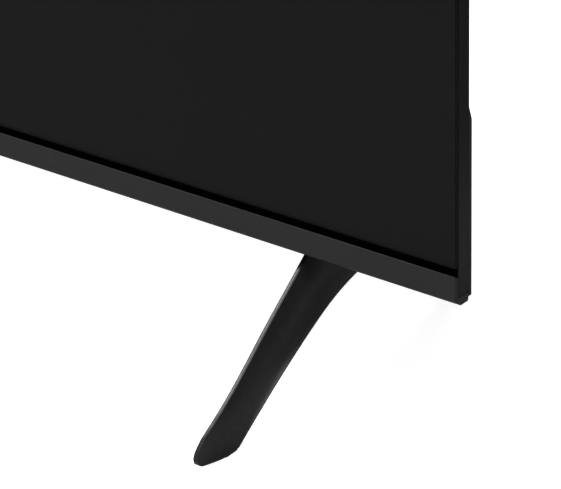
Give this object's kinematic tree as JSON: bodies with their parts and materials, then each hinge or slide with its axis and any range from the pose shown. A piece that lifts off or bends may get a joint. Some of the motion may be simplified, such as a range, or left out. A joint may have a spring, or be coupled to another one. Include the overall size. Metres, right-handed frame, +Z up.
{
  "type": "flat screen tv",
  "caption": "Thin-edged flat screen television on two arched feet, with moulded rear housing, side sockets, wall-mount inserts and a power button under the bezel.",
  "frame": {"origin": "centre of the feet's outline on the surface that the set stands on", "axes": "+X to the right as seen from the front, +Y from the screen to the back, +Z up"},
  "size_m": [0.959, 0.2308, 0.6359],
  "materials": {
    "bezel_plastic": "fine satin texture",
    "edge_trim": "smooth satin",
    "screen_glass": "low-reflection polariser over the cell",
    "black_strip": "dead black",
    "inner_plastic": "plain moulded",
    "optical_film": "clear film with fine prisms",
    "diffuser_white": "translucent white",
    "reflector_white": "matt white",
    "lens_clear": "clear",
    "back_steel": "fine powder coat",
    "board_green": "solder mask",
    "board_tan": "plain laminate",
    "ribbon": "white flat cable",
    "aluminium": "extruded",
    "socket_metal": "plated",
    "socket_black": "moulded",
    "ferrite": "ferrite and yellow tape",
    "capacitor_sleeve": "shrink sleeve",
    "brass": "plated pin",
    "steel": "zinc plated",
    "speaker_paper": "pressed cone in a black frame",
    "sensor_window": "dark infrared window",
    "button_plastic": "smooth",
    "cover_plastic": "fine spark texture",
    "screw_black": "black zinc",
    "foot_plastic": "satin gloss",
    "pad_rubber": "matt",
    "led_board": "white coated"
  },
  "bodies": {
    "set": {"antenna_socket": "socket_metal", "back_panel": "back_steel", "black_edge_strip": "black_strip", "board_standoffs": "steel", "cof_films": "ribbon", "control_board": "board_green", "cover_screws": "screw_black", "diffuser_film": "optical_film", "diffuser_plate": "diffuser_white", "foot_brackets": "steel", "foot_left": "foot_plastic", "foot_pads_left": "pad_rubber", "foot_pads_right": "pad_rubber", "foot_right": "foot_plastic", "foot_screws": "screw_black", "front_bezel": "bezel_plastic", "hdmi_sockets": "socket_metal", "headphone_jack": "socket_black", "inlet_pins": "brass", "lan_socket": "socket_black", "lcd_panel": "screen_glass", "led_lenses": "lens_clear", "led_strip_lower": "led_board", "led_strip_middle": "led_board", "led_strip_upper": "led_board", "main_board": "board_green", "main_heatsink": "aluminium", "middle_frame": "inner_plastic", "power_board": "board_tan", "power_capacitors": "capacitor_sleeve", "power_heatsink": "aluminium", "power_inlet": "socket_black", "power_transformer": "ferrite", "prism_film": "optical_film", "rear_cover": "cover_plastic", "reflector_sheet": "reflector_white", "sensor_housing": "bezel_plastic", "sensor_lens": "sensor_window", "side_trim_left": "edge_trim", "side_trim_right": "edge_trim", "source_board": "board_green", "speaker_box_left": "inner_plastic", "speaker_box_right": "inner_plastic", "speaker_driver_left": "speaker_paper", "speaker_driver_right": "speaker_paper", "tact_switch": "socket_black", "tcon_board": "board_green", "tcon_ribbon": "ribbon", "top_trim": "edge_trim", "usb_sockets": "socket_metal", "vesa_inserts": "steel", "wifi_module": "board_green"},
    "button": {"power_button": "button_plastic"}
  },
  "joints": [
    {"name": "power_button_press", "type": "slide", "parent": "set", "child": "button", "axis": [0, 0, 1], "range_m": [0, 0.0006], "stiffness_N_per_m": 1200}
  ]
}
